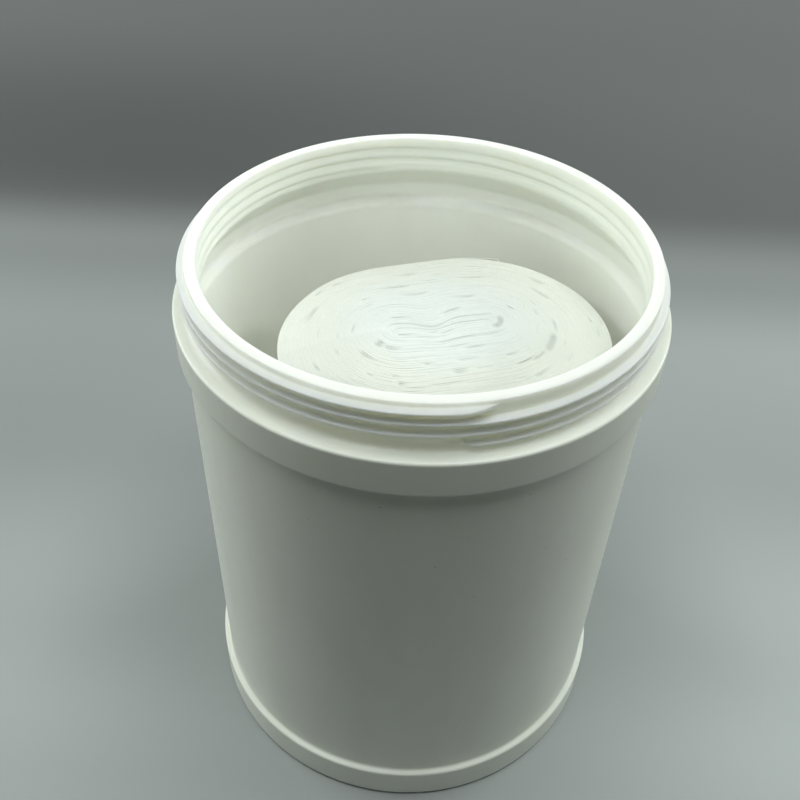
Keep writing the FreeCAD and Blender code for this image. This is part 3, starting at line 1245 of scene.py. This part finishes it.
    def radius_at(self, turn: np.ndarray) -> np.ndarray:
        """Distance from the core to a layer's outer face, at some turns from the loose end."""
        return self.outer_radius * np.clip(1 - turn / self.turns, 0.0, 1.0)

    def all_hollows(self) -> list[Hollow]:
        """The placed hollows and the small seeded ones between them.

        Returns:
            All hollows, the placed ones first.
        """
        chance = np.random.default_rng(self.seed)
        found = list(self.hollows)
        for _ in range(self.small_hollows):
            depth = float(self.outer_radius * math.sqrt(chance.uniform(*self.small_depths)))
            found.append(Hollow(float(chance.uniform(0, 360)), depth, float(chance.uniform(*self.small_lengths)),
                                float(chance.uniform(*self.small_widths)), float(chance.choice([-1, -1, 0, 1]))))
        return found

    def shifts(self, turn: np.ndarray, bearing: np.ndarray) -> tuple[np.ndarray, np.ndarray, np.ndarray]:
        """How far the hollows push the two faces of the layer that begins at each turn, and sink its top edge.

        Args:
            turn: Turns from the loose end.
            bearing: Bearing there, in degrees.

        Returns:
            Outward shift of the outer face and of the inner face, and the top edge's dip, in millimetres.
        """
        outer, inner, dip = np.zeros(len(turn)), np.zeros(len(turn)), np.zeros(len(turn))
        pitch = self.outer_radius / self.turns
        each, least = self.dip_reach
        for hollow in self.all_hollows():
            lead = (hollow.bearing - self.tail_bearing) / 360
            place = round((1 - hollow.depth / self.outer_radius) * self.turns - lead) + lead
            if not 1 < place < self.turns - 1:
                continue
            away = (bearing - hollow.bearing + 180) % 360 - 180
            across = self.span(hollow)
            reach = away * across / (hollow.length / 2)
            lean = self.hollow_lean * hollow.blunt
            shape = np.clip(1 - np.abs(reach) ** 3, 0, 1) * (1 + lean * reach) / (1 + abs(lean))
            aside = (turn + 0.5 - place - away / 360) * pitch / (each * hollow.width + least)
            dip = np.maximum(dip, self.hollow_dip * hollow.width * shape * np.clip(1 - aside**2, 0, 1))
            layers = np.round(turn - place - away / 360)
            opening = min(hollow.width * self.hollow_opening, self.widest_opening)
            push = np.where(layers >= 0, -1, 1) * shape * opening / 2
            outer += push * np.exp(-np.abs(layers) * pitch / self.hollow_decay)
            inner += push * np.exp(-np.abs(layers + 1) * pitch / self.hollow_decay)
        return outer, inner, dip

    def span(self, hollow: Hollow) -> float:
        """Millimetres along the layer for each degree of bearing, at a hollow.

        Args:
            hollow: The gap that the layer bends round.

        Returns:
            The length of one degree there.
        """
        share = np.full(2, hollow.depth / self.outer_radius)
        ends = self.level(share, np.radians(np.array([hollow.bearing - 1, hollow.bearing + 1])))
        return float(np.linalg.norm(ends[1] - ends[0]) / 2)

    def winding(self) -> dict[str, np.ndarray]:
        """Wind the web from its loose end inwards and keep as many points as its bends need.

        Returns:
            The middle line, its outward direction, half its thickness and the length run so far.
        """
        turn = np.arange(0, self.turns - 0.5, 1 / self.steps_each_turn)
        bearing = self.tail_bearing + 360 * turn
        angle = np.radians(bearing)
        outer_shift, inner_shift, dip = self.shifts(turn, bearing)
        share = self.radius_at(turn) / self.outer_radius
        next_share = self.radius_at(turn + 1) / self.outer_radius
        heading = angle + self.tilt(share)
        outward = np.column_stack([np.cos(heading), np.sin(heading)])
        lift = self.tail_lift * eased(1 - turn / self.lifted_turns)
        outer = self.level(share, angle) + outward * (outer_shift + lift)[:, None]
        inner = self.level(next_share, angle) + outward * (inner_shift + lift)[:, None]
        middle = (outer + inner) / 2
        half = np.maximum(((outer - inner) * outward).sum(1) - self.slack, self.thinnest) / 2
        return self.thinned(middle, outward, half, dip)

    def thinned(
        self, middle: np.ndarray, outward: np.ndarray, half: np.ndarray, dip: np.ndarray
    ) -> dict[str, np.ndarray]:
        """Resample the winding by its curvature.

        Args:
            middle: Middle line.
            outward: Outward direction at each point.
            half: Half thickness at each point.
            dip: How far the top edge sinks at each point.

        Returns:
            The resampled line and its measures.
        """
        step = np.linalg.norm(np.diff(middle, axis=0), axis=1)
        heading = np.unwrap(np.arctan2(np.diff(middle[:, 1]), np.diff(middle[:, 0])))
        bend = np.abs(np.gradient(heading)) / np.maximum(step, 1e-6)
        bend = np.convolve(bend, np.ones(5) / 5, "same")
        per_mm = np.clip(np.sqrt(bend / (8 * self.flatness)), 1 / self.longest_step, 1 / self.shortest_step)
        cost = np.concatenate([[0], np.cumsum(per_mm * step)])
        run = np.concatenate([[0], np.cumsum(step)])
        wanted = np.linspace(0, cost[-1], int(cost[-1]) + 1)
        values = {"run": run, "x": middle[:, 0], "y": middle[:, 1], "half": half, "dip": dip,
                  "out_x": outward[:, 0], "out_y": outward[:, 1]}
        return {name: np.interp(wanted, cost, value) for name, value in values.items()}

    def build(self) -> list[bpy.types.Object]:
        """Build the three lengths of the web.

        Returns:
            The tail sheet, the roll and the lead sheet.
        """
        line = self.winding()
        total = float(line["run"][-1])
        ends = {
            Stretch.TAIL: (0.0, self.sheet_length),
            Stretch.ROLL: (self.sheet_length + self.tear_gap, total - self.sheet_length - self.tear_gap),
            Stretch.LEAD: (total - self.sheet_length, total),
        }
        log.info("web %.1f m long, %d points, %d sheets", total * MM, len(line["run"]), total / self.sheet_length)
        winding = WindingTree()
        tree = winding.build()
        material = self.finish.material()
        pieces = []
        for stretch, (start, end) in ends.items():
            node, body = stretch.value
            piece = self.line_object(node + "_web", line, start, end)
            winding.apply_to(piece, tree, material)
            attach(piece, body.value)
            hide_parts(node)
            (end - start) * MM
            pieces.append(piece)
        return pieces

    def line_object(self, name: str, line: Mapping[str, np.ndarray], start: float, end: float) -> bpy.types.Object:
        """One length of the winding as a line of points with its measures.

        Args:
            name: The piece's name.
            line: The whole winding.
            start: Where this length begins, in millimetres from the loose end.
            end: Where it ends.

        Returns:
            The object, ready for the tree.
        """
        run = line["run"]
        inside = run[(run > start + self.end_gap) & (run < end - self.end_gap)]
        places = np.concatenate([[start], inside, [end]])
        at = {key: np.interp(places, run, value) for key, value in line.items()}
        count = len(places)
        mesh = bpy.data.meshes.new(name)
        points = np.column_stack([at["x"], at["y"], np.zeros(count)]) * MM
        mesh.from_pydata(points.tolist(), [(i, i + 1) for i in range(count - 1)], [])
        outward = np.column_stack([at["out_x"], at["out_y"], np.zeros(count)])
        outward /= np.linalg.norm(outward, axis=1)[:, None]
        mesh.attributes.new("outward", "FLOAT_VECTOR", "POINT").data.foreach_set("vector", outward.ravel())
        for attribute, key in (("half_width", "half"), ("run", "run"), ("dip", "dip")):
            mesh.attributes.new(attribute, "FLOAT", "POINT").data.foreach_set("value", at[key] * MM)
        return new_object(name, mesh)


@dataclass(frozen=True)
class Panel:
    """A rectangular light that faces a point: metres, watts, and its beam's angle in degrees."""

    name: str
    place: Triple
    aim: Triple
    size: Pair
    power: float
    spread: float = 180.0
    colour: Triple = (0.95, 1.0, 0.985)

    def hang(self) -> None:
        """Put the light into the scene, unseen by the camera; a narrow one leaves no highlight either."""
        data = bpy.data.lights.new(self.name, "AREA")
        data.shape, data.size, data.size_y = "RECTANGLE", *self.size
        data.energy = self.power
        data.spread = math.radians(self.spread)
        data.color = self.colour
        made = bpy.data.objects.new(self.name, data)
        made.location = self.place
        made.rotation_euler = (Vector(self.aim) - Vector(self.place)).to_track_quat("-Z", "Y").to_euler()
        made.visible_camera = False
        made.visible_glossy = self.spread == 180.0
        bpy.context.scene.collection.objects.link(made)


@dataclass
class Studio:
    """Camera, lights and a pale floor with painted shade."""

    place: Triple = (0.0, -0.23479, 0.34293)
    turn: float = 0.0234
    pitch: float = 0.7358
    roll: float = -0.0385
    lens: float = 42.008
    sensor: float = 36.0
    clip: Pair = (0.01, 20.0)
    floor_half: float = 3.0
    air: Triple = (0.93, 1.0, 0.98)
    ambient: float = 0.006
    backdrop: float = 0.07
    panels: tuple[Panel, ...] = (
        Panel("overhead", (0.02, -0.14, 1.35), (0.0, -0.05, 0.15), (0.95, 0.70), 12.2),
        Panel("back", (0.0, 1.9, 0.45), (0.0, 0.0, 0.1), (2.6, 0.50), 10.0),
        Panel("left", (-1.02, 0.38, 0.58), (0.0, 0.0, 0.1), (0.8, 0.7), 8.8),
        Panel("right", (1.02, 0.48, 0.62), (0.0, 0.0, 0.1), (0.8, 0.7), 8.0),
        Panel("wall_back", (0.0, -0.48, 0.56), (0.0, 0.066, 0.166), (0.07, 0.07), 0.0094, 12.0),
        Panel("wall_left", (0.456, 0.0, 0.56), (-0.0627, 0.0, 0.166), (0.07, 0.07), 0.0105, 12.0),
        Panel("wall_right", (-0.432, -0.144, 0.56), (0.0594, 0.0198, 0.166), (0.07, 0.07), 0.0042, 12.0),
    )
    finish: Finish = field(default_factory=PaleFloorPaintedShade)

    def build(self) -> None:
        """Set up everything round the object."""
        self.camera()
        self.floor()
        self.air_light()
        for panel in self.panels:
            panel.hang()
        scene = bpy.context.scene
        scene.view_settings.view_transform = "Standard"
        scene.view_settings.look = "None"

    def camera(self) -> None:
        """Camera at the photograph's place, looking down into the mouth."""
        sin_a, cos_a = math.sin(self.turn), math.cos(self.turn)
        sin_p, cos_p = math.sin(self.pitch), math.cos(self.pitch)
        ahead = Vector((-sin_a * cos_p, cos_a * cos_p, -sin_p))
        right = Vector((cos_a, sin_a, 0))
        down = Vector((sin_a * sin_p, -cos_a * sin_p, -cos_p))
        across = right * math.cos(self.roll) + down * math.sin(self.roll)
        below = down * math.cos(self.roll) - right * math.sin(self.roll)
        data = bpy.data.cameras.new("camera")
        data.lens, data.sensor_width, data.sensor_fit = self.lens, self.sensor, "HORIZONTAL"
        data.clip_start, data.clip_end = self.clip
        made = bpy.data.objects.new("camera", data)
        bpy.context.scene.collection.objects.link(made)
        turned = Matrix((across, -below, -ahead)).transposed()
        made.matrix_world = Matrix.Translation(self.place) @ turned.to_4x4()
        bpy.context.scene.camera = made

    def floor(self) -> None:
        """Pale paper under and behind the canister, with painted shade and a painted contact shadow."""
        half = self.floor_half
        mesh = bpy.data.meshes.new("floor")
        mesh.from_pydata([(-half, -half, 0), (half, -half, 0), (half, half, 0), (-half, half, 0)], [], [(0, 1, 2, 3)])
        mesh.materials.append(self.finish.material())
        new_object("floor", mesh)

    def air_light(self) -> None:
        """Faint light from all round, with a plain grey backdrop for the camera past the floor's edge."""
        world = bpy.data.worlds.new("studio")
        world.use_nodes = True
        back = world.node_tree.nodes["Background"]
        back.inputs["Color"].default_value = (*self.air, 1)
        seen = NodeBench(world.node_tree).add("ShaderNodeLightPath", output="Is Camera Ray")
        strength = self.ambient + seen * (self.backdrop - self.ambient)
        world.node_tree.links.new(strength.socket, back.inputs["Strength"])
        bpy.context.scene.world = world


def corners(box: tuple[Vector, Vector]) -> list[list[float]]:
    """Box as plain lists."""
    return [list(box[0]), list(box[1])]


def main() -> None:
    """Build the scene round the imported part."""
    logging.basicConfig(level=logging.INFO, format="%(name)s: %(message)s")
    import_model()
    Studio().build()
    pieces = [Canister().build(), *WipesRoll().build()]
    for piece in pieces:
        log.info("%s: %d faces", piece.name, len(piece.data.polygons))
    bpy.context.view_layer.update()


if __name__ == "__main__":
    main()
